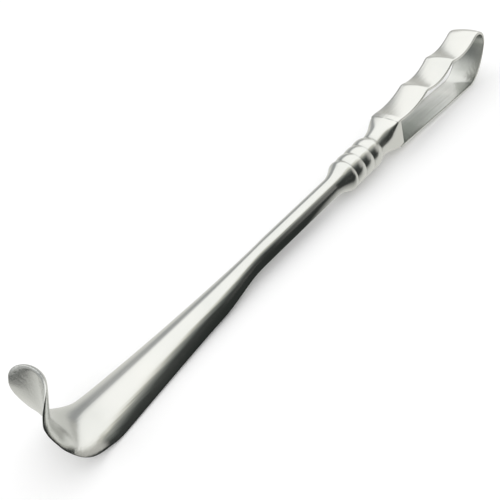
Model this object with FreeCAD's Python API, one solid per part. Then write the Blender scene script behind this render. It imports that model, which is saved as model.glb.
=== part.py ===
import FreeCAD, Part
import math
import os
from FreeCAD import Vector

# Handheld surgical retractor, forged and turned from one bar of stainless steel.
# It is drawn along its shaft: X runs from the bend of the blade to the end of the grip,
# Z is up on the side of the blade and of the finger hollows, and Y = 0 is the plane of symmetry.
# The finished solid is then tipped to lie on its back. All sizes are in millimetres.

# Shaft
ROD_RADIUS = 4.35
FLARE_START = 92.0

# Flare, where the rod is drawn out into a wide, thin, arched strip with a level crest
FORMING_LENGTH = 35.0
CREST_HEIGHT = 3.4
BAR_HALF_WIDTH = 3.9
WIDENING_START = 0.3
FLARE_SLOPE = 0.14
FLARE_DROP = 6.1
THICKNESS_SLOPE = 0.04

# Blade, a saddle: hollow along its length and arched across, widest at the ears of the bend.
# A drop is the height of the crest above the rims, which sets the arch together with the width.
BEND_X = 2.5
BEND_RADIUS = 10.6
BEND_HALF_WIDTH = 12.6
BEND_THICKNESS = 2.4
BEND_DROP = 2.3
BEND_DROP_ANGLE = 90.0
BEND_DROP_EASE = 4.0
BLADE_LEAN = 30.0
BLADE_LENGTH = 12.2
BLADE_HALF_WIDTH = 12.5
BLADE_THICKNESS = 1.6
BLADE_DROP = 5.0
BLADE_DROP_LENGTH = 9.0
LEVEL_LENGTH = 12.0
EDGE_SQUARENESS = 2.2
EAR_ANGLE = 40.0
EAR_HEIGHT = 1.4
EAR_REACH = 6.0
TIP_LENGTH = 8.0
TIP_SQUARENESS = 2.5

# Collar of turned beads
BELL_START = 127.0
BELL_LIP = 3.7
FIRST_GROOVE = 138.1
BEAD_PITCH = 5.7
BEAD_COUNT = 3
GROOVE_RADIUS = 6.6
BEAD_RADIUS = 7.15
NECK_X = 156.4
NECK_RADIUS = 5.8

# Grip, a flat loop with three finger hollows
GRIP_HALF_WIDTH = 7.0
WEDGE_END = 167.6
OPENING_START = 169.6
RIDGE_X = 170.0
RIDGE_HEIGHT = 7.9
RIDGE_RADIUS = 4.0
FINGER_PITCH = 20.6
FINGER_RISE = 2.1
FINGER_DEPTHS = (1.4, 2.2, 2.1)
END_RADIUS = 6.5
END_SIDE_RADIUS = 32.0
PALM_START_DEPTH = 5.6
HEEL_SETBACK = 7.3
PALM_END_DEPTH = 9.3
PALM_ROUND = 9.4
STRIP_THICKNESS = 1.3
EDGE_ROUND = 0.45
ROOT_ROUND = 0.8

# Points round each section of the blade, and the closeness of faces that join
SECTION_POINTS = 20
JOIN_TOLERANCE = 0.0001


def smooth(t):
    """Ease from 0 to 1 with level ends."""
    t = min(max(t, 0.0), 1.0)
    return t * t * (3.0 - 2.0 * t)


def mix(a, b, t):
    return a + (b - a) * t


def arc(start, middle, end):
    return Part.Arc(start, middle, end).toShape()


def straight_length():
    return FLARE_START - BEND_X


def bend_length():
    return BEND_RADIUS * math.radians(90.0 + BLADE_LEAN)


def line_length():
    return straight_length() + bend_length() + BLADE_LENGTH


def line_point(s):
    """Point and inward normal of the crest's middle line, s from the start of the flare to the tip."""
    straight = straight_length()
    if s <= straight:
        return Vector(FLARE_START - s, 0, CREST_HEIGHT - 0.5 * thickness(s)), Vector(0, 0, 1)
    turned = min(s - straight, bend_length())
    turn = turned / BEND_RADIUS
    inward = Vector(math.sin(turn), 0, math.cos(turn))
    ahead = Vector(-math.cos(turn), 0, math.sin(turn))
    centre = Vector(BEND_X, 0, CREST_HEIGHT - 0.5 * BEND_THICKNESS + BEND_RADIUS)
    return centre - inward * BEND_RADIUS + ahead * (s - straight - turned), inward


def half_width(s):
    """Rims spread in straight lines from the bar to the bend, then swell out into the ears."""
    past = s - straight_length()
    spread = BEND_HALF_WIDTH + FLARE_SLOPE * min(past, 0.0) - BAR_HALF_WIDTH
    width = BAR_HALF_WIDTH + 0.5 * (spread + math.hypot(spread, 2.0 * WIDENING_START))
    width = mix(width, BLADE_HALF_WIDTH, smooth(past / LEVEL_LENGTH))
    ear = (past - BEND_RADIUS * math.radians(EAR_ANGLE)) / EAR_REACH
    return width + EAR_HEIGHT * max(1.0 - ear * ear, 0.0) ** 2


def tip_share(s):
    """Share of the section's width that is left by the round outline of the tip."""
    inset = max(1.0 - (line_length() - s) / TIP_LENGTH, 0.0)
    return (1.0 - inset ** TIP_SQUARENESS) ** (1.0 / TIP_SQUARENESS)


def thickness(s):
    """The strip thins towards the bend, and is rounded off at the tip."""
    past = s - straight_length()
    flared = BEND_THICKNESS + THICKNESS_SLOPE * max(-past, 0.0)
    strip = mix(flared, BLADE_THICKNESS, smooth(past / LEVEL_LENGTH))
    inset = max(1.0 - 2.0 * (line_length() - s) / BLADE_THICKNESS, 0.0)
    return strip * math.sqrt(1.0 - inset * inset)


def crest_drop(s):
    """Height of the arch: deep in the flare, shallow past the ears and deep again in the blade."""
    past = s - straight_length()
    shallow = BEND_RADIUS * math.radians(BEND_DROP_ANGLE)
    eased = (past + BEND_DROP_EASE) / (shallow + BEND_DROP_EASE)
    drop = mix(FLARE_DROP, BEND_DROP, smooth(eased))
    return mix(drop, BLADE_DROP, smooth((past - shallow) / BLADE_DROP_LENGTH))


def section_curve(s):
    """Rounded strip section bent to its arch, which the flare forms out of the round rod."""
    point, inward = line_point(s)
    wide = half_width(s)
    drop = crest_drop(s)
    radius = (wide ** 2 + drop ** 2) / (2.0 * drop)
    half_angle = math.atan2(wide, radius - drop) * tip_share(s)
    deep = 0.5 * thickness(s)
    formed = smooth(s / FORMING_LENGTH)
    power = 2.0 / EDGE_SQUARENESS
    points = []
    for k in range(SECTION_POINTS):
        turn = 2.0 * math.pi * (k / SECTION_POINTS - 0.25)
        side = math.cos(turn)
        height = math.sin(turn)
        angle = half_angle * math.copysign(abs(side) ** power, side)
        out = radius + deep * math.copysign(abs(height) ** power, height)
        arched = point + inward * (out * math.cos(angle) - radius) + Vector(0, out * math.sin(angle), 0)
        turned = Vector(FLARE_START - s, ROD_RADIUS * side, ROD_RADIUS * height)
        points.append(turned * (1.0 - formed) + arched * formed)
    spline = Part.BSplineCurve()
    steps = [float(k) for k in range(SECTION_POINTS + 1)]
    spline.interpolate(Points=points, PeriodicFlag=True, Parameters=steps)
    return spline


def skin(curves, steps):
    """Solid whose wall runs smoothly through closed section curves, with a flat cap at each end."""
    columns = []
    for poles in zip(*[curve.getPoles() for curve in curves]):
        column = Part.BSplineCurve()
        column.interpolate(Points=list(poles), Parameters=steps)
        columns.append(column)
    wall = Part.BSplineSurface()
    wall.buildFromPolesMultsKnots(
        [column.getPoles() for column in columns],
        curves[0].getMultiplicities(),
        columns[0].getMultiplicities(),
        curves[0].getKnots(),
        columns[0].getKnots(),
        True,
        False,
        curves[0].Degree,
        columns[0].Degree,
    )
    side = wall.toShape()
    caps = [Part.Face(Part.Wire([edge])) for edge in side.Edges if edge.isClosed()]
    shell = Part.makeShell([side] + caps)
    shell.sewShape()
    return Part.Solid(shell)


def flare_and_blade():
    """Sections are closer together in the bend, and closest towards the rounded tip."""
    bend = straight_length()
    blade = bend + bend_length()
    tip = line_length() - TIP_LENGTH
    stations = [FORMING_LENGTH * k / 4.0 for k in range(4)]
    stations += [mix(FORMING_LENGTH, bend, k / 4.0) for k in range(4)]
    stations += [mix(bend, blade, k / 6.0) for k in range(7)]
    stations += [mix(blade, tip, 1.0)]
    stations += [tip + TIP_LENGTH * math.sin(0.3 * k) for k in range(1, 6)]
    return skin([section_curve(s) for s in stations], stations)


def shaft_and_collar():
    """Turned length from the flare to the neck: rod, bell and beads."""

    def at(x, r):
        return Vector(x, 0, r)

    lip = FIRST_GROOVE - BELL_LIP
    reach = lip - BELL_START
    grown = GROOVE_RADIUS - ROD_RADIUS
    bell_radius = (reach ** 2 + grown ** 2) / (2.0 * grown)
    half_turn = 0.5 * math.asin(reach / bell_radius)
    bell_x = BELL_START + bell_radius * math.sin(half_turn)
    bell_r = ROD_RADIUS + bell_radius * (1.0 - math.cos(half_turn))
    edges = [Part.makeLine(at(FLARE_START, 0), at(FLARE_START, ROD_RADIUS))]
    edges.append(Part.makeLine(at(FLARE_START, ROD_RADIUS), at(BELL_START, ROD_RADIUS)))
    edges.append(arc(at(BELL_START, ROD_RADIUS), at(bell_x, bell_r), at(lip, GROOVE_RADIUS)))
    start = lip
    for k in range(BEAD_COUNT + 1):
        end = FIRST_GROOVE + k * BEAD_PITCH
        radius = GROOVE_RADIUS
        if k == BEAD_COUNT:
            end = NECK_X
            radius = NECK_RADIUS
        top = at(0.5 * (start + end), BEAD_RADIUS)
        edges.append(arc(at(start, GROOVE_RADIUS), top, at(end, radius)))
        start = end
    edges.append(Part.makeLine(at(NECK_X, NECK_RADIUS), at(NECK_X, 0)))
    edges.append(Part.makeLine(at(NECK_X, 0), at(FLARE_START, 0)))
    face = Part.Face(Part.Wire(edges))
    return face.revolve(Vector(0, 0, 0), Vector(1, 0, 0), 360)


def rounded_section(x, wide, top, bottom, corner):
    """Rounded rectangle across the shaft, as four corner arcs and four sides."""
    diagonal = corner * math.sqrt(0.5)
    arcs = []
    for sy, sz in ((1, -1), (1, 1), (-1, 1), (-1, -1)):
        z = top - corner if sz > 0 else bottom + corner
        middle = Vector(x, sy * (wide - corner), z)
        side = middle + Vector(0, sy * corner, 0)
        flat = middle + Vector(0, 0, sz * corner)
        swell = middle + Vector(0, sy * diagonal, sz * diagonal)
        arcs.append((flat, swell, side) if sy * sz < 0 else (side, swell, flat))
    edges = []
    for k, (start, swell, end) in enumerate(arcs):
        edges.append(arc(start, swell, end))
        edges.append(Part.makeLine(end, arcs[(k + 1) % 4][0]))
    return Part.Wire(edges)


def wedge():
    """Grip root, from the round neck to the flat section of the loop."""
    wires = []
    for t, roundness in ((0.0, 0.98), (0.35, 0.8), (0.7, 0.45), (1.0, 0.0)):
        wide = mix(NECK_RADIUS, GRIP_HALF_WIDTH, smooth(t))
        top = mix(NECK_RADIUS, RIDGE_HEIGHT, t)
        bottom = -mix(NECK_RADIUS, PALM_START_DEPTH, t)
        corner = mix(EDGE_ROUND, 0.5 * (top - bottom), roundness)
        corner = min(corner, 0.98 * wide)
        wires.append(rounded_section(mix(NECK_X, WEDGE_END, t), wide, top, bottom, corner))
    return Part.makeLoft(wires, True, False)


def toward(start, end, distance):
    return start + (end - start).normalize() * distance


def placed_between(a, from_a, b, from_b):
    """Point at given distances from a and from b, on the left of the way from a to b."""
    ahead = b - a
    gap = ahead.Length
    along = (from_a ** 2 - from_b ** 2 + gap ** 2) / (2.0 * gap)
    aside = math.sqrt(from_a ** 2 - along ** 2)
    ahead.normalize()
    return a + ahead * along + Vector(-ahead.z, 0, ahead.x) * aside


def ridge_circles():
    """Centre and radius of each rounded ridge of the finger side, the last at the grip's end."""
    circles = []
    for k in range(len(FINGER_DEPTHS) + 1):
        radius = RIDGE_RADIUS if k < len(FINGER_DEPTHS) else END_RADIUS
        x = RIDGE_X + k * FINGER_PITCH
        z = RIDGE_HEIGHT + k * FINGER_RISE - radius
        circles.append((Vector(x, 0, z), radius))
    return circles


def finger_edges(circles):
    """Hollows that touch the ridges on both sides of them, and the ridges in between."""
    edges = []
    centre, radius = circles[0]
    touch = centre + Vector(0, 0, radius)
    for depth, (following, next_radius) in zip(FINGER_DEPTHS, circles[1:]):
        chord = math.hypot(FINGER_PITCH, FINGER_RISE)
        hollow_radius = (chord ** 2 / 4.0 + depth ** 2) / (2.0 * depth) - RIDGE_RADIUS
        reach = hollow_radius + radius
        next_reach = hollow_radius + next_radius
        hollow = placed_between(centre, reach, following, next_reach)
        leave = toward(centre, hollow, radius)
        edges.append(arc(touch, toward(centre, (touch + leave) * 0.5, radius), leave))
        touch = toward(following, hollow, next_radius)
        edges.append(arc(leave, toward(hollow, (leave + touch) * 0.5, hollow_radius), touch))
        centre = following
        radius = next_radius
    return edges, touch


def grip_outline():
    """Closed side profile of the loop: fingers on top, rounded end, palm below."""
    circles = ridge_circles()
    edges, touch = finger_edges(circles)
    centre = circles[-1][0]
    heel = Vector(centre.x - HEEL_SETBACK, 0, PALM_ROUND - PALM_END_DEPTH)
    to_heel = END_SIDE_RADIUS - PALM_ROUND
    side = placed_between(heel, to_heel, centre, END_SIDE_RADIUS - END_RADIUS)
    side_top = toward(side, centre, END_SIDE_RADIUS)
    side_low = toward(side, heel, END_SIDE_RADIUS)
    side_middle = toward(side, (side_top + side_low) * 0.5, END_SIDE_RADIUS)
    edges.append(arc(touch, toward(centre, centre + Vector(1, 0, 1), END_RADIUS), side_top))
    edges.append(arc(side_top, side_middle, side_low))
    palm_start = Vector(WEDGE_END, 0, -PALM_START_DEPTH)
    palm_length = math.sqrt((palm_start - heel).Length ** 2 - PALM_ROUND ** 2)
    palm_touch = placed_between(heel, PALM_ROUND, palm_start, palm_length)
    edges.append(arc(side_low, toward(heel, heel + Vector(1, 0, -1), PALM_ROUND), palm_touch))
    ridge = Vector(RIDGE_X, 0, RIDGE_HEIGHT)
    start = Vector(WEDGE_END, 0, RIDGE_HEIGHT)
    edges.append(Part.makeLine(palm_touch, palm_start))
    edges.append(Part.makeLine(palm_start, start))
    edges.append(Part.makeLine(start, ridge))
    return Part.Wire(edges)


def across_grip(outline):
    """Solid of the grip's full width from a side profile."""
    face = Part.Face(outline)
    face.translate(Vector(0, -GRIP_HALF_WIDTH, 0))
    return face.extrude(Vector(0, 2.0 * GRIP_HALF_WIDTH, 0))


def opening(outline):
    """The hollow of the loop, with a flat root and rounded root corners."""
    hollow = across_grip(outline.makeOffset2D(-STRIP_THICKNESS))
    box = hollow.BoundBox
    corner = Vector(OPENING_START, box.YMin, box.ZMin)
    keep = Part.makeBox(box.XMax - OPENING_START, box.YLength, box.ZLength, corner)
    hollow = hollow.common(keep)
    root = []
    for edge in hollow.Edges:
        box = edge.BoundBox
        if box.XMax < OPENING_START + 0.01 and box.YLength > GRIP_HALF_WIDTH:
            root.append(edge)
    return hollow.makeFillet(ROOT_ROUND, root)


def loop():
    """Bent strip of the grip, with every rim rounded past its joint with the wedge."""
    outline = grip_outline()
    ring = across_grip(outline).cut(opening(outline))
    rims = []
    for edge in ring.Edges:
        box = edge.BoundBox
        if box.YLength < 0.01 and box.XMax > WEDGE_END + 0.1:
            rims.append(edge)
    return ring.makeFillet(EDGE_ROUND, rims)


def resting_angle(shape):
    """Angle about Y that levels the two lowest lines before and behind the centre of mass."""
    points = sorted((p.x, p.z) for p in shape.tessellate(0.05)[0])
    hull = []
    for x, z in points:
        while len(hull) > 1:
            (ax, az), (bx, bz) = hull[-2:]
            if (bx - ax) * (z - az) > (bz - az) * (x - ax):
                break
            hull.pop()
        hull.append((x, z))
    middle = shape.CenterOfMass.x
    for (ax, az), (bx, bz) in zip(hull, hull[1:]):
        if ax <= middle <= bx:
            return math.degrees(math.atan2(bz - az, bx - ax))
    return 0.0


def retractor():
    """The whole forging, lying on its back with the blade up."""
    pieces = [flare_and_blade(), wedge(), loop()]
    solid = shaft_and_collar().fuse(pieces, JOIN_TOLERANCE).Solids[0]
    solid.rotate(Vector(0, 0, 0), Vector(0, 1, 0), resting_angle(solid))
    box = solid.BoundBox
    solid.translate(Vector(-box.Center.x, -box.Center.y, -box.ZMin))
    return solid


os.makedirs("parts", exist_ok=True)
retractor().exportStep("parts/retractor.step")
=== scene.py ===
import math

import bmesh
import bpy
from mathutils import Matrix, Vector


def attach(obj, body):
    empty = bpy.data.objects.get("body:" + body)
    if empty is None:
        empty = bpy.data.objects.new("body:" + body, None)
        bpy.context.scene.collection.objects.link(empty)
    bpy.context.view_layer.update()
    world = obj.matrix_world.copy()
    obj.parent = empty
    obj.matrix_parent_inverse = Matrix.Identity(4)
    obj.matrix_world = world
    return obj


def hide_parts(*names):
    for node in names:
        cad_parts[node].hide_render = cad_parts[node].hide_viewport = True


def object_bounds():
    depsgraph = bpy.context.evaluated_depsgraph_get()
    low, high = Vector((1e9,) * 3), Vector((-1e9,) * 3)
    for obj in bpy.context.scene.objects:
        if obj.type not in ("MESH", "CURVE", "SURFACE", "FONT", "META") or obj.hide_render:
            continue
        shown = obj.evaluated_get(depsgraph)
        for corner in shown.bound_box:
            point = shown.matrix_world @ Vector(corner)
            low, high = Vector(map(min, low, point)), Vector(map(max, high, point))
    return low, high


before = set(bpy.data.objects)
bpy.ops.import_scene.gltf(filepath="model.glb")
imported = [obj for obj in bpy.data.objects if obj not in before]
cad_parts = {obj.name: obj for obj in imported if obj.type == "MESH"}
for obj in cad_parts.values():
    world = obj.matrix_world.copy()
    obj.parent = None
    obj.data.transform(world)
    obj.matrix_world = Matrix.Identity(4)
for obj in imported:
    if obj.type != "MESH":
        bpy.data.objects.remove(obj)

# Sizes of the forging in millimetres, the same as in the part's source. It is drawn lying along
# the X axis, from the bend of the blade to the end of the grip. Blade and finger hollows are on
# the upper side. A drop is the depth of the arch across the strip, from its crest to its rims

# Shaft and flare, where the rod is drawn out into a wide, thin, arched strip
ROD_RADIUS = 4.35
FLARE_START = 92.0
FORMING_LENGTH = 35.0
CREST_HEIGHT = 3.4
BAR_HALF_WIDTH = 3.9
WIDENING_START = 0.3
FLARE_SLOPE = 0.14
FLARE_DROP = 6.1
THICKNESS_SLOPE = 0.04

# Bend and blade, with an ear on each side of the bend
BEND_X = 2.5
BEND_RADIUS = 10.6
BEND_HALF_WIDTH = 12.6
BEND_THICKNESS = 2.4
BEND_DROP = 2.3
BEND_DROP_ANGLE = 90.0
BEND_DROP_EASE = 4.0
BLADE_LEAN = 30.0
BLADE_LENGTH = 12.2
BLADE_HALF_WIDTH = 12.5
BLADE_THICKNESS = 1.6
BLADE_DROP = 5.0
BLADE_DROP_LENGTH = 9.0
LEVEL_LENGTH = 12.0
EDGE_SQUARENESS = 2.2
EAR_ANGLE = 40.0
EAR_HEIGHT = 1.4
EAR_REACH = 6.0
TIP_LENGTH = 8.0
TIP_SQUARENESS = 2.5

# Collar of turned beads
BELL_START = 127.0
BELL_LIP = 3.7
FIRST_GROOVE = 138.1
BEAD_PITCH = 5.7
BEAD_COUNT = 3
GROOVE_RADIUS = 6.6
BEAD_RADIUS = 7.15
NECK_X = 156.4
NECK_RADIUS = 5.8

# Grip, a flat loop with three finger hollows
GRIP_HALF_WIDTH = 7.0
WEDGE_END = 167.6
OPENING_START = 169.6
RIDGE_X = 170.0
RIDGE_HEIGHT = 7.9
RIDGE_RADIUS = 4.0
FINGER_PITCH = 20.6
FINGER_RISE = 2.1
FINGER_DEPTHS = (1.4, 2.2, 2.1)
END_RADIUS = 6.5
END_SIDE_RADIUS = 32.0
PALM_START_DEPTH = 5.6
HEEL_SETBACK = 7.3
PALM_END_DEPTH = 9.3
PALM_ROUND = 9.4
STRIP_THICKNESS = 1.3
EDGE_ROUND = 0.45

# Forms that the part's source hasn't: a crown across the strip of the grip, and a root that
# rises early, squares up late and ends a little inside the strip
STRIP_CROWN = 0.65
WEDGE_SQUARENESS = 14.0
WEDGE_SQUARING = 5
WEDGE_RISING = 0.7
ROOT_INSET = 0.15

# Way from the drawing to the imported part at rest: a turn about Y, then a shift
REST_TURN = math.radians(-1.29547)
REST_SHIFT = (-113.5766, 0.0, 4.2243)
MM_IN_METRE = 1000.0

# Closeness of the mesh: points round the bar, rings along each stretch of it, and the angle of
# the outermost ring of the tip, which a full quarter turn would shrink to a point
RING_POINTS = 56
TIP_RINGS = 16
BLADE_RINGS = 34
FLARE_RINGS = 42
SHAFT_RINGS = 8
BELL_RINGS = 10
BEAD_RINGS = 10
WEDGE_RINGS = 14
LAST_TIP_ANGLE = 89.1

# Closeness along the grip's arcs and palm, and across its strip with the rounded edges
ARC_STEP = 1.0
LEAST_ARC_RINGS = 4
PALM_RINGS = 12
FLAT_POINTS = 7
EDGE_ANGLES = (30.0, 60.0, 90.0)

# Least angle in degrees between two facets that shows as an edge
SHARP_ANGLE = 32.0

# Camera of the photograph, in metres and degrees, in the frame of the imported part
CAMERA_PLACE = (-0.1138, -0.1383, 0.1465)
CAMERA_TURN = (47.93, 16.34, -44.62)
CAMERA_LENS = 40.13
CAMERA_NEAR_LIMIT = 0.01
SENSOR_WIDTH = 36.0

# Floor, backdrop and lamp. The lamp faces down and the steel doesn't mirror it
FLOOR_SIZE = 40.0
FLOOR_COLOR = (0.95, 0.95, 0.95, 1.0)
BACKDROP_WHITE = (1.0, 1.0, 1.0, 1.0)
ROOM_LIGHT = (1.0, 1.0, 1.0, 1.0)
SOFTBOX_HEIGHT = 1.0
SOFTBOX_SIZE = 2.0
SOFTBOX_POWER = 3.0

# Directions in the studio for a viewer beside the part, with its blade on the left
UP_WAY = (0.0, 0.0, 1.0)
VIEWER_WAY = (0.0, -1.0, 0.0)
RIGHT_WAY = (1.0, 0.0, 0.0)
LEFT_WAY = (-1.0, 0.0, 0.0)
NEAR_LEFT_WAY = (-0.6, -0.8, 0.0)

# Studio that the steel mirrors above the floor: colour by height in degrees from the viewer's
# horizon, over the zenith at 90, to the far horizon
BLACK = (0.0, 0.0, 0.0, 1.0)
NEAR_DARK = (0.03, 0.034, 0.031, 1.0)
CEILING_WHITE = (1.3, 1.3, 1.27, 1.0)
FAR_WHITE = (0.8, 0.8, 0.76, 1.0)
MIRRORED_BANDS = (
    (0.0, NEAR_DARK),
    (26.0, NEAR_DARK),
    (36.0, (0.13, 0.14, 0.13, 1.0)),
    (52.0, (0.4, 0.41, 0.38, 1.0)),
    (58.0, (0.85, 0.83, 0.7, 1.0)),
    (64.0, CEILING_WHITE),
    (134.0, CEILING_WHITE),
    (144.0, (0.38, 0.39, 0.39, 1.0)),
    (160.0, (0.42, 0.43, 0.43, 1.0)),
    (180.0, FAR_WHITE),
)

# Pale wall on the right, where it is lighter than the bands. It comes in between two cosines of
# the angle to the right
RIGHT_WALL = (0.38, 0.78)
RIGHT_WALL_COLOR = (0.6, 0.595, 0.56, 1.0)

# Floor that the steel mirrors: the distances in metres between which it turns from white to
# dark along each direction
FLOOR_DARK_NEAR_LEFT = (-0.01, 0.006)
FLOOR_DARK_VIEWER = (-0.004, 0.004)
FLOOR_DARK_RIGHT = (-0.19, -0.14)
FLOOR_DARK_LEFT = (0.15, 0.45)

# Steel, with lengths in metres. Clouds set how light and how rough it is
STEEL_COLOR = (0.72, 0.72, 0.70, 1.0)
STEEL_SHADED = (0.66, 0.67, 0.655, 1.0)
STEEL_ROUGHNESS = (0.17, 0.26)
CLOUD_SCALE = 28.0
CLOUD_DETAIL = 4.0
CLOUD_SPREAD = (0.35, 0.65)
BRUSH_SCALE = (9.0, 900.0, 900.0)
BRUSH_DETAIL = 3.0
BRUSH_DEPTH = 0.0001
BRUSH_STRENGTH = 0.5

# Painted shade: the steel's colour is darkened in recesses, found by ambient occlusion. It is weak on
# blade and shaft and full from the collar on
PAINTED_SHADE_COLOR = (0.15, 0.17, 0.15, 1.0)
PAINTED_SHADE_REACH = 0.018
PAINTED_SHADE_OPENNESS = (0.5, 0.97)
COLLAR_START = (0.012, 0.02)
WEAK_PAINTED_SHADE = 0.35


def as_lists(bounds):
    return [[float(value) for value in corner] for corner in bounds]


def make_camera():
    data = bpy.data.cameras.new("photo_camera")
    data.lens = CAMERA_LENS
    data.sensor_width = SENSOR_WIDTH
    data.clip_start = CAMERA_NEAR_LIMIT
    camera = bpy.data.objects.new("photo_camera", data)
    camera.location = CAMERA_PLACE
    camera.rotation_euler = [math.radians(angle) for angle in CAMERA_TURN]
    bpy.context.scene.collection.objects.link(camera)
    bpy.context.scene.camera = camera


def new_material(name):
    material = bpy.data.materials.new(name)
    material.use_nodes = True
    tree = material.node_tree
    tree.nodes.clear()
    output = tree.nodes.new("ShaderNodeOutputMaterial")
    return material, tree, output


def dot_with(tree, vector, way):
    node = tree.nodes.new("ShaderNodeVectorMath")
    node.operation = "DOT_PRODUCT"
    tree.links.new(vector, node.inputs[0])
    node.inputs[1].default_value = way
    return node.outputs["Value"]


def calculated(tree, operation, *values):
    node = tree.nodes.new("ShaderNodeMath")
    node.operation = operation
    for value, socket in zip(values, node.inputs):
        tree.links.new(value, socket)
    return node.outputs[0]


def ranged(tree, value, low, high, to_low=0.0, to_high=1.0):
    node = tree.nodes.new("ShaderNodeMapRange")
    tree.links.new(value, node.inputs["Value"])
    node.inputs["From Min"].default_value = low
    node.inputs["From Max"].default_value = high
    node.inputs["To Min"].default_value = to_low
    node.inputs["To Max"].default_value = to_high
    return node.outputs["Result"]


def ramp(tree, value, stops):
    node = tree.nodes.new("ShaderNodeValToRGB")
    tree.links.new(value, node.inputs["Fac"])
    elements = node.color_ramp.elements
    while len(elements) < len(stops):
        elements.new(0.5)
    for element, (position, color) in zip(elements, stops):
        element.position = position
        element.color = color
    return node.outputs["Color"]


def noise(tree, vector, scale, detail):
    node = tree.nodes.new("ShaderNodeTexNoise")
    tree.links.new(vector, node.inputs["Vector"])
    node.inputs["Scale"].default_value = scale
    node.inputs["Detail"].default_value = detail
    return node.outputs["Fac"]


def background(tree, color):
    """Background shader of a constant colour or of one that comes from another node."""
    node = tree.nodes.new("ShaderNodeBackground")
    if isinstance(color, tuple):
        node.inputs["Color"].default_value = color
    else:
        tree.links.new(color, node.inputs["Color"])
    return node.outputs[0]


def mix_shaders(tree, share, first, second):
    node = tree.nodes.new("ShaderNodeMixShader")
    tree.links.new(share, node.inputs[0])
    tree.links.new(first, node.inputs[1])
    tree.links.new(second, node.inputs[2])
    return node.outputs[0]


def floor_darkness(tree):
    """Share of dark in the mirrored floor: the near side beside the part, and the far left."""
    place = tree.nodes.new("ShaderNodeNewGeometry").outputs["Position"]
    near_left = ranged(tree, dot_with(tree, place, NEAR_LEFT_WAY), *FLOOR_DARK_NEAR_LEFT)
    viewer = ranged(tree, dot_with(tree, place, VIEWER_WAY), *FLOOR_DARK_VIEWER)
    right = ranged(tree, dot_with(tree, place, RIGHT_WAY), *FLOOR_DARK_RIGHT)
    left = ranged(tree, dot_with(tree, place, LEFT_WAY), *FLOOR_DARK_LEFT)
    near = calculated(tree, "MULTIPLY", near_left, viewer)
    return calculated(tree, "MULTIPLY_ADD", near, right, left)


def make_floor():
    """Pale floor, which the steel mirrors in zones of dark and white."""
    material, tree, output = new_material("floor")
    path = tree.nodes.new("ShaderNodeLightPath")
    seen = tree.nodes.new("ShaderNodeBsdfDiffuse")
    seen.inputs["Color"].default_value = FLOOR_COLOR
    mirrored = tree.nodes.new("ShaderNodeEmission")
    shade = ramp(tree, floor_darkness(tree), ((0.0, FAR_WHITE), (1.0, NEAR_DARK)))
    tree.links.new(shade, mirrored.inputs["Color"])
    lit = mix_shaders(tree, path.outputs["Is Glossy Ray"], seen.outputs[0], mirrored.outputs[0])
    tree.links.new(lit, output.inputs["Surface"])
    half = 0.5 * FLOOR_SIZE
    corners = [(-half, -half, 0), (half, -half, 0), (half, half, 0), (-half, half, 0)]
    mesh = bpy.data.meshes.new("floor")
    mesh.from_pydata(corners, [], [(0, 1, 2, 3)])
    mesh.materials.append(material)
    floor = bpy.data.objects.new("floor", mesh)
    bpy.context.scene.collection.objects.link(floor)


def mirrored_room(tree):
    """Colour of the bands in each direction, with the wall on the right where that is lighter."""
    way = tree.nodes.new("ShaderNodeTexCoord").outputs["Generated"]
    height = calculated(tree, "ARCTAN2", dot_with(tree, way, UP_WAY), dot_with(tree, way, VIEWER_WAY))
    stops = [(math.radians(angle) / math.pi, color) for angle, color in MIRRORED_BANDS]
    bands = ramp(tree, ranged(tree, height, 0.0, math.pi), stops)
    rightness = ranged(tree, dot_with(tree, way, RIGHT_WAY), *RIGHT_WALL)
    wall = ramp(tree, rightness, ((0.0, BLACK), (1.0, RIGHT_WALL_COLOR)))
    lighter = tree.nodes.new("ShaderNodeMix")
    lighter.data_type = "RGBA"
    lighter.blend_type = "LIGHTEN"
    lighter.inputs["Factor"].default_value = 1.0
    tree.links.new(bands, lighter.inputs["A"])
    tree.links.new(wall, lighter.inputs["B"])
    return lighter.outputs["Result"]


def make_room():
    """Even light, a white backdrop for the camera, and bands of white and grey in the steel."""
    world = bpy.data.worlds.new("room")
    bpy.context.scene.world = world
    world.use_nodes = True
    tree = world.node_tree
    tree.nodes.clear()
    output = tree.nodes.new("ShaderNodeOutputWorld")
    path = tree.nodes.new("ShaderNodeLightPath")
    light = background(tree, ROOM_LIGHT)
    mirrored = background(tree, mirrored_room(tree))
    backdrop = background(tree, BACKDROP_WHITE)
    around = mix_shaders(tree, path.outputs["Is Glossy Ray"], light, mirrored)
    shown = mix_shaders(tree, path.outputs["Is Camera Ray"], around, backdrop)
    tree.links.new(shown, output.inputs["Surface"])


def make_softbox():
    data = bpy.data.lights.new("top_softbox", "AREA")
    data.shape = "SQUARE"
    data.size = SOFTBOX_SIZE
    data.energy = SOFTBOX_POWER
    lamp = bpy.data.objects.new("top_softbox", data)
    lamp.location = (0.0, 0.0, SOFTBOX_HEIGHT)
    lamp.visible_glossy = False
    bpy.context.scene.collection.objects.link(lamp)


def painted_shade_share(tree, place):
    """Strength of the painted shade, by how closed in a place is and by how far along it lies."""
    recess = tree.nodes.new("ShaderNodeAmbientOcclusion")
    recess.inputs["Distance"].default_value = PAINTED_SHADE_REACH
    recess.only_local = True
    closed = ranged(tree, recess.outputs["AO"], *PAINTED_SHADE_OPENNESS, 1.0, 0.0)
    strength = ranged(tree, dot_with(tree, place, RIGHT_WAY), *COLLAR_START, WEAK_PAINTED_SHADE, 1.0)
    return calculated(tree, "MULTIPLY", strength, closed)


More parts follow.
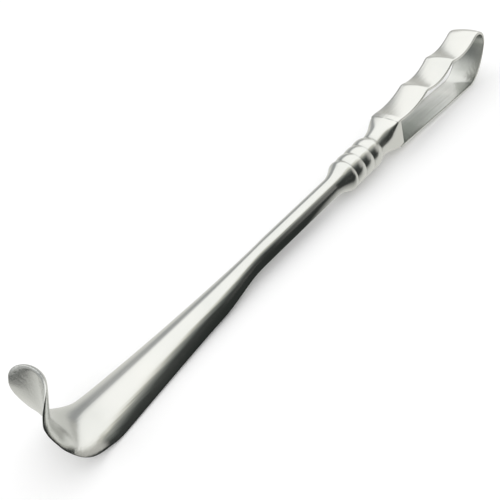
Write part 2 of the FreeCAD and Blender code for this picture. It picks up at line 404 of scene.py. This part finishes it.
def cloudy_color_and_painted_shade(tree, place, clouds):
    """Colour of the clouds, darkened by painted shade in the recesses."""
    least_cloud, most_cloud = CLOUD_SPREAD
    shade_mix = tree.nodes.new("ShaderNodeMix")
    shade_mix.data_type = "RGBA"
    cloudy = ramp(tree, clouds, ((least_cloud, STEEL_SHADED), (most_cloud, STEEL_COLOR)))
    # Painted shade: the colour goes dark where the ambient occlusion finds a closed recess
    tree.links.new(painted_shade_share(tree, place), shade_mix.inputs["Factor"])
    tree.links.new(cloudy, shade_mix.inputs["A"])
    shade_mix.inputs["B"].default_value = PAINTED_SHADE_COLOR
    return shade_mix.outputs["Result"]


def brushed_normal(tree, place):
    """Bump of fine lines that run along the shaft."""
    stretch = tree.nodes.new("ShaderNodeMapping")
    stretch.inputs["Scale"].default_value = BRUSH_SCALE
    tree.links.new(place, stretch.inputs["Vector"])
    bump = tree.nodes.new("ShaderNodeBump")
    bump.inputs["Strength"].default_value = BRUSH_STRENGTH
    bump.inputs["Distance"].default_value = BRUSH_DEPTH
    tree.links.new(noise(tree, stretch.outputs[0], 1.0, BRUSH_DETAIL), bump.inputs["Height"])
    return bump.outputs[0]


def make_steel_and_painted_shade():
    """Satin steel, brushed along the shaft, cloudy in polish, with painted shade in the recesses."""
    material, tree, output = new_material("satin_steel_and_painted_shade")
    place = tree.nodes.new("ShaderNodeTexCoord").outputs["Object"]
    clouds = noise(tree, place, CLOUD_SCALE, CLOUD_DETAIL)
    roughness = ranged(tree, clouds, *CLOUD_SPREAD, *STEEL_ROUGHNESS)
    shader = tree.nodes.new("ShaderNodeBsdfPrincipled")
    shader.inputs["Metallic"].default_value = 1.0
    tree.links.new(cloudy_color_and_painted_shade(tree, place, clouds), shader.inputs["Base Color"])
    tree.links.new(roughness, shader.inputs["Roughness"])
    tree.links.new(brushed_normal(tree, place), shader.inputs["Normal"])
    tree.links.new(shader.outputs[0], output.inputs["Surface"])
    return material


def smooth(t):
    t = min(max(t, 0.0), 1.0)
    return t * t * (3.0 - 2.0 * t)


def mix(a, b, t):
    return a + (b - a) * t


def signed_power(value, power):
    return math.copysign(abs(value) ** power, value)


def straight_length():
    return FLARE_START - BEND_X


def bend_length():
    return BEND_RADIUS * math.radians(90.0 + BLADE_LEAN)


def line_length():
    return straight_length() + bend_length() + BLADE_LENGTH


def thickness(s):
    """Thickness of the strip, which rounds off at the very tip."""
    past = s - straight_length()
    flared = BEND_THICKNESS + THICKNESS_SLOPE * max(-past, 0.0)
    strip = mix(flared, BLADE_THICKNESS, smooth(past / LEVEL_LENGTH))
    inset = max(1.0 - 2.0 * (line_length() - s) / BLADE_THICKNESS, 0.0)
    return strip * math.sqrt(1.0 - inset * inset)


def half_width(s):
    """Half the width between the rims, with the ear beside the bend."""
    past = s - straight_length()
    spread = BEND_HALF_WIDTH + FLARE_SLOPE * min(past, 0.0) - BAR_HALF_WIDTH
    width = BAR_HALF_WIDTH + 0.5 * (spread + math.hypot(spread, 2.0 * WIDENING_START))
    width = mix(width, BLADE_HALF_WIDTH, smooth(past / LEVEL_LENGTH))
    ear = (past - BEND_RADIUS * math.radians(EAR_ANGLE)) / EAR_REACH
    return width + EAR_HEIGHT * max(1.0 - ear * ear, 0.0) ** 2


def crest_drop(s):
    """Depth of the arch, deep in the flare, shallow in the bend and deeper again in the blade."""
    past = s - straight_length()
    shallow = BEND_RADIUS * math.radians(BEND_DROP_ANGLE)
    eased = (past + BEND_DROP_EASE) / (shallow + BEND_DROP_EASE)
    drop = mix(FLARE_DROP, BEND_DROP, smooth(eased))
    return mix(drop, BLADE_DROP, smooth((past - shallow) / BLADE_DROP_LENGTH))


def line_point(s):
    """Point and inward normal, as X and Z, of the crest's middle line at s from the flare's start."""
    straight = straight_length()
    if s <= straight:
        return Vector((FLARE_START - s, CREST_HEIGHT - 0.5 * thickness(s))), Vector((0.0, 1.0))
    turned = min(s - straight, bend_length())
    turn = turned / BEND_RADIUS
    inward = Vector((math.sin(turn), math.cos(turn)))
    ahead = Vector((-math.cos(turn), math.sin(turn)))
    centre = Vector((BEND_X, CREST_HEIGHT - 0.5 * BEND_THICKNESS + BEND_RADIUS))
    return centre - inward * BEND_RADIUS + ahead * (s - straight - turned), inward


def circle_points():
    """Points round the unit circle from its lowest one, as side and height."""
    for k in range(RING_POINTS):
        turn = 2.0 * math.pi * (k / RING_POINTS - 0.25)
        yield math.cos(turn), math.sin(turn)


def blade_ring(s):
    """Section at s from the flare's start, part round rod and part arched strip."""
    point, inward = line_point(s)
    wide = half_width(s)
    drop = crest_drop(s)
    radius = (wide ** 2 + drop ** 2) / (2.0 * drop)
    inset = max(1.0 - (line_length() - s) / TIP_LENGTH, 0.0)
    tip_share = (1.0 - inset ** TIP_SQUARENESS) ** (1.0 / TIP_SQUARENESS)
    half_angle = math.atan2(wide, radius - drop) * tip_share
    formed = smooth(s / FORMING_LENGTH)
    power = 2.0 / EDGE_SQUARENESS
    ring = []
    for side, height in circle_points():
        angle = half_angle * signed_power(side, power)
        out = radius + 0.5 * thickness(s) * signed_power(height, power)
        arched = point + inward * (out * math.cos(angle) - radius)
        turned = Vector((FLARE_START - s, ROD_RADIUS * height))
        place = turned.lerp(arched, formed)
        ring.append((place.x, mix(ROD_RADIUS * side, out * math.sin(angle), formed), place.y))
    return ring


def round_ring(x, radius):
    return [(x, radius * side, radius * height) for side, height in circle_points()]


def wedge_ring(t):
    """Section at share t of the way from the round neck to the squared root of the grip."""
    power = 2.0 / mix(2.0, WEDGE_SQUARENESS, t ** WEDGE_SQUARING)
    wide = mix(NECK_RADIUS, GRIP_HALF_WIDTH, smooth(t))
    top = mix(NECK_RADIUS, RIDGE_HEIGHT, t ** WEDGE_RISING)
    bottom = -mix(NECK_RADIUS, PALM_START_DEPTH, t)
    ring = []
    for side, height in circle_points():
        across = signed_power(side, power)
        share = 0.5 + 0.5 * signed_power(height, power)
        crown = STRIP_CROWN * smooth(t) * mix(across ** 2, 1.0 - across ** 2, share)
        ring.append((mix(NECK_X, WEDGE_END, t), wide * across, mix(bottom, top, share) + crown))
    return ring


def bead_rings(start, end, end_radius):
    """Turned bead on a parabola from its first groove over its crown to its end."""
    middle = 0.5 * (start + end)
    half = middle - start
    rings = []
    for k in range(BEAD_RINGS + 1):
        u = 2.0 * k / BEAD_RINGS - 1.0
        grooves = 0.5 * u * ((u - 1.0) * GROOVE_RADIUS + (u + 1.0) * end_radius)
        rings.append(round_ring(middle + u * half, BEAD_RADIUS * (1.0 - u * u) + grooves))
    return rings


def blade_rings():
    """Rings from the tip of the blade to the start of the flare, closer at the tip and the bend."""
    tip_start = line_length() - TIP_LENGTH
    bend_start = straight_length() - BEND_DROP_EASE
    stations = []
    for k in range(TIP_RINGS, 0, -1):
        angle = math.radians(LAST_TIP_ANGLE) * k / TIP_RINGS
        stations.append(tip_start + TIP_LENGTH * math.sin(angle))
    stations += [mix(bend_start, tip_start, k / BLADE_RINGS) for k in range(BLADE_RINGS, 0, -1)]
    stations += [mix(0.0, bend_start, k / FLARE_RINGS) for k in range(FLARE_RINGS, -1, -1)]
    return [blade_ring(s) for s in stations]


def shaft_rings():
    """Rings along the round shaft and up the bell, short of its lip."""
    reach = FIRST_GROOVE - BELL_LIP - BELL_START
    grown = GROOVE_RADIUS - ROD_RADIUS
    bell_radius = (reach ** 2 + grown ** 2) / (2.0 * grown)
    rings = []
    for k in range(1, SHAFT_RINGS + 1):
        rings.append(round_ring(mix(FLARE_START, BELL_START, k / SHAFT_RINGS), ROD_RADIUS))
    for k in range(1, BELL_RINGS):
        along = reach * k / BELL_RINGS
        risen = bell_radius - math.sqrt(bell_radius ** 2 - along ** 2)
        rings.append(round_ring(BELL_START + along, ROD_RADIUS + risen))
    return rings


def collar_rings():
    """Rings from the bell's lip over the beads to the neck."""
    start = FIRST_GROOVE - BELL_LIP
    rings = []
    for k in range(BEAD_COUNT + 1):
        last = k == BEAD_COUNT
        end = NECK_X if last else FIRST_GROOVE + k * BEAD_PITCH
        bead = bead_rings(start, end, NECK_RADIUS if last else GROOVE_RADIUS)
        rings += bead if k == 0 else bead[1:]
        start = end
    return rings


def root_rings():
    """Rings of the wedge and of its end within the strip."""
    rings = [wedge_ring(k / WEDGE_RINGS) for k in range(1, WEDGE_RINGS + 1)]
    shrink = 1.0 - ROOT_INSET / RIDGE_HEIGHT
    rings.append([(OPENING_START, y * shrink, z * shrink) for x, y, z in rings[-1]])
    return rings


def toward(start, end, distance):
    return start + (end - start).normalized() * distance


def placed_between(a, from_a, b, from_b):
    """Point at given distances from a and from b, on the left of the way from a to b."""
    gap = (b - a).length
    along = (from_a ** 2 - from_b ** 2 + gap ** 2) / (2.0 * gap)
    aside = math.sqrt(from_a ** 2 - along ** 2)
    ahead = (b - a) / gap
    return a + ahead * along + Vector((-ahead.y, ahead.x)) * aside


def arc_path(centre, start, end, outward):
    """Points along an arc with their outward normals, without its last point."""
    first = math.atan2(start.y - centre.y, start.x - centre.x)
    last = math.atan2(end.y - centre.y, end.x - centre.x)
    sweep = (last - first + math.pi) % (2.0 * math.pi) - math.pi
    radius = (start - centre).length
    count = max(int(radius * abs(sweep) / ARC_STEP), LEAST_ARC_RINGS)
    path = []
    for k in range(count):
        angle = first + sweep * k / count
        way = Vector((math.cos(angle), math.sin(angle)))
        path.append((centre + way * radius, way * outward))
    return path


def ridge_circles():
    """Centre and radius of each ridge beside a finger hollow, and of the rounded end."""
    circles = []
    for k in range(len(FINGER_DEPTHS) + 1):
        radius = RIDGE_RADIUS if k < len(FINGER_DEPTHS) else END_RADIUS
        centre = Vector((RIDGE_X + k * FINGER_PITCH, RIDGE_HEIGHT + k * FINGER_RISE - radius))
        circles.append((centre, radius))
    return circles


def finger_path():
    """Outer side over the fingers, with its normals, and the place where it meets the end."""
    up = Vector((0.0, 1.0))
    path = [(Vector((WEDGE_END, RIDGE_HEIGHT)), up)]
    circles = ridge_circles()
    touch = circles[0][0] + up * RIDGE_RADIUS
    chord = math.hypot(FINGER_PITCH, FINGER_RISE)
    for depth, (ridge, radius), (following, next_radius) in zip(FINGER_DEPTHS, circles, circles[1:]):
        hollow_radius = (chord ** 2 / 4.0 + depth ** 2) / (2.0 * depth) - RIDGE_RADIUS
        hollow = placed_between(ridge, hollow_radius + radius, following, hollow_radius + next_radius)
        leave = toward(ridge, hollow, radius)
        path += arc_path(ridge, touch, leave, 1.0)
        touch = toward(following, hollow, next_radius)
        path += arc_path(hollow, leave, touch, -1.0)
    return path, touch


def grip_path():
    """Outer side of the loop with its normals: over the fingers, round the end, along the palm."""
    path, touch = finger_path()
    centre, radius = ridge_circles()[-1]
    heel = Vector((centre.x - HEEL_SETBACK, PALM_ROUND - PALM_END_DEPTH))
    side = placed_between(heel, END_SIDE_RADIUS - PALM_ROUND, centre, END_SIDE_RADIUS - radius)
    side_top = toward(side, centre, END_SIDE_RADIUS)
    side_low = toward(side, heel, END_SIDE_RADIUS)
    palm_start = Vector((WEDGE_END, -PALM_START_DEPTH))
    palm_length = math.sqrt((palm_start - heel).length ** 2 - PALM_ROUND ** 2)
    palm_touch = placed_between(heel, PALM_ROUND, palm_start, palm_length)
    path += arc_path(centre, touch, side_top, 1.0)
    path += arc_path(side, side_top, side_low, 1.0)
    path += arc_path(heel, side_low, palm_touch, 1.0)
    down = (palm_touch - heel) / PALM_ROUND
    path += [(palm_touch.lerp(palm_start, k / PALM_RINGS), down) for k in range(PALM_RINGS + 1)]
    return path


def strip_section():
    """Points round the strip's flat section: place across it, and share of its thickness."""
    corner = EDGE_ROUND / STRIP_THICKNESS
    flat = GRIP_HALF_WIDTH - EDGE_ROUND
    half = [(flat * k / FLAT_POINTS, 1.0) for k in range(1, FLAT_POINTS + 1)]
    for turn in EDGE_ANGLES:
        angle = math.radians(turn)
        half.append((flat + EDGE_ROUND * math.sin(angle), 1.0 - corner + corner * math.cos(angle)))
    half += [(y, 1.0 - share) for y, share in reversed(half)]
    return [(0.0, 1.0)] + half + [(0.0, 0.0)] + [(-y, share) for y, share in reversed(half)]


def grip_rings():
    """Sections of the strip, its outer face crowned across and its inner face flat."""
    rings = []
    for place, out in grip_path():
        ring = []
        for y, share in strip_section():
            crown = STRIP_CROWN * (max(out.y, 0.0) - (y / GRIP_HALF_WIDTH) ** 2) * share
            at = place + out * (STRIP_THICKNESS * (share - 1.0) + crown)
            ring.append((at.x, y, at.y))
        rings.append(ring)
    return rings


def tube(rings, points, faces):
    """Closed tube through rings of points, with a flat cap at each end."""
    count = len(rings[0])
    first = len(points)
    for ring in rings:
        points.extend(ring)
    for k in range(len(rings) - 1):
        row = first + k * count
        for j in range(count):
            following = (j + 1) % count
            faces.append((row + j, row + following, row + count + following, row + count + j))
    faces.append(tuple(reversed(range(first, first + count))))
    faces.append(tuple(range(len(points) - count, len(points))))


def at_rest(point, box):
    """Place in metres in the frame, kept within the box of the solid."""
    x, y, z = point
    turned_x = x * math.cos(REST_TURN) + z * math.sin(REST_TURN)
    turned_z = z * math.cos(REST_TURN) - x * math.sin(REST_TURN)
    place = (turned_x + REST_SHIFT[0], y, turned_z + REST_SHIFT[2])
    return [min(max(v / MM_IN_METRE, low), high) for v, low, high in zip(place, *box)]


def make_forging(material, box):
    """The whole forging with an even mesh: the bar from tip to root, and the loop of the grip."""
    points = []
    faces = []
    tube(blade_rings() + shaft_rings() + collar_rings() + root_rings(), points, faces)
    tube(grip_rings(), points, faces)
    mesh = bpy.data.meshes.new("forging")
    mesh.from_pydata([at_rest(point, box) for point in points], [], faces)
    shell = bmesh.new()
    shell.from_mesh(mesh)
    bmesh.ops.recalc_face_normals(shell, faces=shell.faces)
    shell.to_mesh(mesh)
    shell.free()
    mesh.shade_smooth()
    mesh.set_sharp_from_angle(angle=math.radians(SHARP_ANGLE))
    mesh.materials.append(material)
    forging = bpy.data.objects.new("forging", mesh)
    bpy.context.scene.collection.objects.link(forging)
    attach(forging, "root")
    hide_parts("retractor")


cad_bounds = as_lists(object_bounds())
bpy.context.scene.view_settings.view_transform = "Standard"
make_camera()
make_floor()
make_room()
make_softbox()
make_forging(make_steel_and_painted_shade(), cad_bounds)
